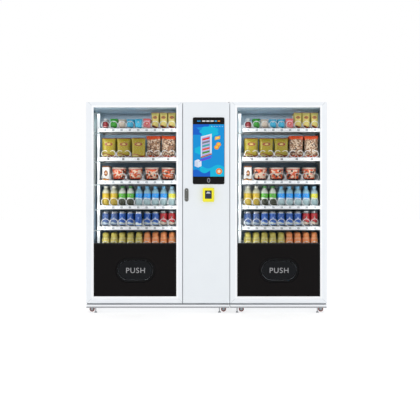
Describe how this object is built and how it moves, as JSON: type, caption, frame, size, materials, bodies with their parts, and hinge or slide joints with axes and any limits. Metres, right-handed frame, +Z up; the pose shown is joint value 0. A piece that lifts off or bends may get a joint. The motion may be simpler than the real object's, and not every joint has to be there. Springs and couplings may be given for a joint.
{
  "type": "snack vending machine",
  "caption": "Twin-cabinet vending machine with two glass doors over push flaps, sliding spiral trays and a payment column with a touch screen.",
  "frame": {"origin": "on the floor, at the middle of the machine's width and of its whole depth", "axes": "+X to the right seen from the front, +Y to the back, +Z up; the doors face -Y"},
  "size_m": [2.21, 0.83, 1.934],
  "materials": {
    "white_enamel": "satin white powder coat",
    "galvanised": "grey zinc-coated sheet",
    "liner": "grey-green moulded liner",
    "black_panel": "gloss black panel",
    "glass": "clear float glass",
    "rubber_black": "matt black",
    "steel": "zinc-plated steel",
    "lamp": "opal lamp tube",
    "screen": "black bezel with a lit display",
    "reader_yellow": "moulded yellow plastic",
    "lock_grey": "satin grey die-cast",
    "tray_white": "white powder-coated sheet",
    "coil_wire": "bright plated wire",
    "wheel_tyre": "dark red-brown polyurethane tyre on a light hub",
    "compressor_black": "black enamel",
    "finned_aluminium": "bare fins",
    "electronics": "green board with components",
    "inlet_black": "moulded black"
  },
  "bodies": {
    "cabinet": {"main_outer_casing": "white_enamel", "side_outer_casing": "white_enamel", "inner_liners": "liner", "door_gaskets": "rubber_black", "base_frames": "white_enamel", "levelling_feet": "steel", "joining_bolts": "steel", "hinge_brackets": "steel", "tray_runners": "galvanised", "lamp_tubes": "lamp", "delivery_bins": "galvanised", "compressors": "compressor_black", "condensers": "finned_aluminium", "evaporators": "finned_aluminium", "power_supply": "galvanised", "control_board": "electronics", "power_inlet": "inlet_black", "rear_caster_forks": "steel"},
    "main_door": {"main_door_frame": "white_enamel", "main_door_glass": "glass", "main_lower_panel": "black_panel"},
    "side_door": {"side_door_frame": "white_enamel", "side_door_glass": "glass", "side_lower_panel": "black_panel"},
    "column_door": {"column_door": "white_enamel", "touch_screen": "screen", "card_reader": "reader_yellow", "lock_escutcheon": "lock_grey"},
    "main_flap": {"main_delivery_flap": "black_panel"},
    "side_flap": {"side_delivery_flap": "black_panel"},
    "lock_spindle": {"lock_spindle": "steel"},
    "lock_lever": {"lock_lever": "lock_grey"},
    "main_tray_1": {"main_tray_1": "tray_white"},
    "main_tray_2": {"main_tray_2": "tray_white"},
    "main_tray_3": {"main_tray_3": "tray_white"},
    "main_tray_4": {"main_tray_4": "tray_white"},
    "main_tray_5": {"main_tray_5": "tray_white"},
    "main_tray_6": {"main_tray_6": "tray_white"},
    "side_tray_1": {"side_tray_1": "tray_white"},
    "side_tray_2": {"side_tray_2": "tray_white"},
    "side_tray_3": {"side_tray_3": "tray_white"},
    "side_tray_4": {"side_tray_4": "tray_white"},
    "side_tray_5": {"side_tray_5": "tray_white"},
    "side_tray_6": {"side_tray_6": "tray_white"},
    "main_coil_1": {"main_coil_1": "coil_wire"},
    "main_coil_2_left": {"main_coil_2_left": "coil_wire"},
    "main_coil_2_right": {"main_coil_2_right": "coil_wire"},
    "main_coil_5": {"main_coil_5": "coil_wire"},
    "front_caster_fork_1": {"front_caster_fork_1": "steel"},
    "front_caster_fork_2": {"front_caster_fork_2": "steel"},
    "front_caster_fork_3": {"front_caster_fork_3": "steel"},
    "front_caster_fork_4": {"front_caster_fork_4": "steel"},
    "front_wheel_1": {"front_wheel_1": "wheel_tyre"},
    "front_wheel_2": {"front_wheel_2": "wheel_tyre"},
    "front_wheel_3": {"front_wheel_3": "wheel_tyre"},
    "front_wheel_4": {"front_wheel_4": "wheel_tyre"},
    "rear_wheel_1": {"rear_wheel_1": "wheel_tyre"},
    "rear_wheel_2": {"rear_wheel_2": "wheel_tyre"},
    "rear_wheel_3": {"rear_wheel_3": "wheel_tyre"},
    "rear_wheel_4": {"rear_wheel_4": "wheel_tyre"}
  },
  "joints": [
    {"name": "main_door_hinge", "type": "hinge", "parent": "cabinet", "child": "main_door", "pos_m": [-1.095, -0.336, 1], "axis": [0, 0, -1], "range_deg": [0, 110]},
    {"name": "column_door_hinge", "type": "hinge", "parent": "cabinet", "child": "column_door", "pos_m": [0.204, -0.372, 1], "axis": [0, 0, 1], "range_deg": [0, 110]},
    {"name": "side_door_hinge", "type": "hinge", "parent": "cabinet", "child": "side_door", "pos_m": [1.095, -0.336, 1], "axis": [0, 0, 1], "range_deg": [0, 110]},
    {"name": "main_flap_hinge", "type": "hinge", "parent": "main_door", "child": "main_flap", "pos_m": [-0.653, -0.357, 0.471], "axis": [1, 0, 0], "range_deg": [0, 60]},
    {"name": "side_flap_hinge", "type": "hinge", "parent": "side_door", "child": "side_flap", "pos_m": [0.667, -0.357, 0.471], "axis": [1, 0, 0], "range_deg": [0, 60]},
    {"name": "lock_turn", "type": "hinge", "parent": "column_door", "child": "lock_spindle", "pos_m": [-0.183, -0.39, 1.125], "axis": [0, -1, 0], "range_deg": [0, 90]},
    {"name": "lock_lever_lift", "type": "hinge", "parent": "lock_spindle", "child": "lock_lever", "pos_m": [-0.183, -0.39, 1.125], "axis": [-1, 0, 0], "range_deg": [0, 30]},
    {"name": "main_tray_1_slide", "type": "slide", "parent": "cabinet", "child": "main_tray_1", "axis": [0, -1, 0], "range_m": [0, 0.09]},
    {"name": "main_tray_2_slide", "type": "slide", "parent": "cabinet", "child": "main_tray_2", "axis": [0, -1, 0], "range_m": [0, 0.09]},
    {"name": "main_tray_3_slide", "type": "slide", "parent": "cabinet", "child": "main_tray_3", "axis": [0, -1, 0], "range_m": [0, 0.09]},
    {"name": "main_tray_4_slide", "type": "slide", "parent": "cabinet", "child": "main_tray_4", "axis": [0, -1, 0], "range_m": [0, 0.09]},
    {"name": "main_tray_5_slide", "type": "slide", "parent": "cabinet", "child": "main_tray_5", "axis": [0, -1, 0], "range_m": [0, 0.09]},
    {"name": "main_tray_6_slide", "type": "slide", "parent": "cabinet", "child": "main_tray_6", "axis": [0, -1, 0], "range_m": [0, 0.09]},
    {"name": "side_tray_1_slide", "type": "slide", "parent": "cabinet", "child": "side_tray_1", "axis": [0, -1, 0], "range_m": [0, 0.09]},
    {"name": "side_tray_2_slide", "type": "slide", "parent": "cabinet", "child": "side_tray_2", "axis": [0, -1, 0], "range_m": [0, 0.09]},
    {"name": "side_tray_3_slide", "type": "slide", "parent": "cabinet", "child": "side_tray_3", "axis": [0, -1, 0], "range_m": [0, 0.09]},
    {"name": "side_tray_4_slide", "type": "slide", "parent": "cabinet", "child": "side_tray_4", "axis": [0, -1, 0], "range_m": [0, 0.09]},
    {"name": "side_tray_5_slide", "type": "slide", "parent": "cabinet", "child": "side_tray_5", "axis": [0, -1, 0], "range_m": [0, 0.09]},
    {"name": "side_tray_6_slide", "type": "slide", "parent": "cabinet", "child": "side_tray_6", "axis": [0, -1, 0], "range_m": [0, 0.09]},
    {"name": "main_coil_1_turn", "type": "hinge", "parent": "main_tray_1", "child": "main_coil_1", "pos_m": [-0.639, 0.24, 1.741], "axis": [0, 1, 0], "continuous": true},
    {"name": "main_coil_2_left_turn", "type": "hinge", "parent": "main_tray_2", "child": "main_coil_2_left", "pos_m": [-0.6735, 0.24, 1.469], "axis": [0, 1, 0], "continuous": true},
    {"name": "main_coil_2_right_turn", "type": "hinge", "parent": "main_tray_2", "child": "main_coil_2_right", "pos_m": [-0.6045, 0.24, 1.469], "axis": [0, 1, 0], "continuous": true},
    {"name": "main_coil_5_turn", "type": "hinge", "parent": "main_tray_5", "child": "main_coil_5", "pos_m": [-0.639, 0.24, 0.823], "axis": [0, 1, 0], "continuous": true},
    {"name": "front_caster_1_swivel", "type": "hinge", "parent": "cabinet", "child": "front_caster_fork_1", "pos_m": [-1.044, -0.27, 0.065], "axis": [0, 0, 1], "continuous": true},
    {"name": "front_caster_2_swivel", "type": "hinge", "parent": "cabinet", "child": "front_caster_fork_2", "pos_m": [0.14, -0.27, 0.065], "axis": [0, 0, 1], "continuous": true},
    {"name": "front_caster_3_swivel", "type": "hinge", "parent": "cabinet", "child": "front_caster_fork_3", "pos_m": [0.305, -0.27, 0.065], "axis": [0, 0, 1], "continuous": true},
    {"name": "front_caster_4_swivel", "type": "hinge", "parent": "cabinet", "child": "front_caster_fork_4", "pos_m": [1.041, -0.27, 0.065], "axis": [0, 0, 1], "continuous": true},
    {"name": "front_wheel_1_spin", "type": "hinge", "parent": "front_caster_fork_1", "child": "front_wheel_1", "pos_m": [-1.062, -0.27, 0.025], "axis": [0, 1, 0], "continuous": true},
    {"name": "front_wheel_2_spin", "type": "hinge", "parent": "front_caster_fork_2", "child": "front_wheel_2", "pos_m": [0.158, -0.27, 0.025], "axis": [0, 1, 0], "continuous": true},
    {"name": "front_wheel_3_spin", "type": "hinge", "parent": "front_caster_fork_3", "child": "front_wheel_3", "pos_m": [0.323, -0.27, 0.025], "axis": [0, 1, 0], "continuous": true},
    {"name": "front_wheel_4_spin", "type": "hinge", "parent": "front_caster_fork_4", "child": "front_wheel_4", "pos_m": [1.059, -0.27, 0.025], "axis": [0, 1, 0], "continuous": true},
    {"name": "rear_wheel_1_spin", "type": "hinge", "parent": "cabinet", "child": "rear_wheel_1", "pos_m": [-1.044, 0.3, 0.025], "axis": [1, 0, 0], "continuous": true},
    {"name": "rear_wheel_2_spin", "type": "hinge", "parent": "cabinet", "child": "rear_wheel_2", "pos_m": [0.14, 0.3, 0.025], "axis": [1, 0, 0], "continuous": true},
    {"name": "rear_wheel_3_spin", "type": "hinge", "parent": "cabinet", "child": "rear_wheel_3", "pos_m": [0.305, 0.3, 0.025], "axis": [1, 0, 0], "continuous": true},
    {"name": "rear_wheel_4_spin", "type": "hinge", "parent": "cabinet", "child": "rear_wheel_4", "pos_m": [1.041, 0.3, 0.025], "axis": [1, 0, 0], "continuous": true}
  ],
  "couplings": [
    {"joint": "main_coil_2_right_turn", "follows": "main_coil_2_left_turn", "ratio": -1}
  ]
}
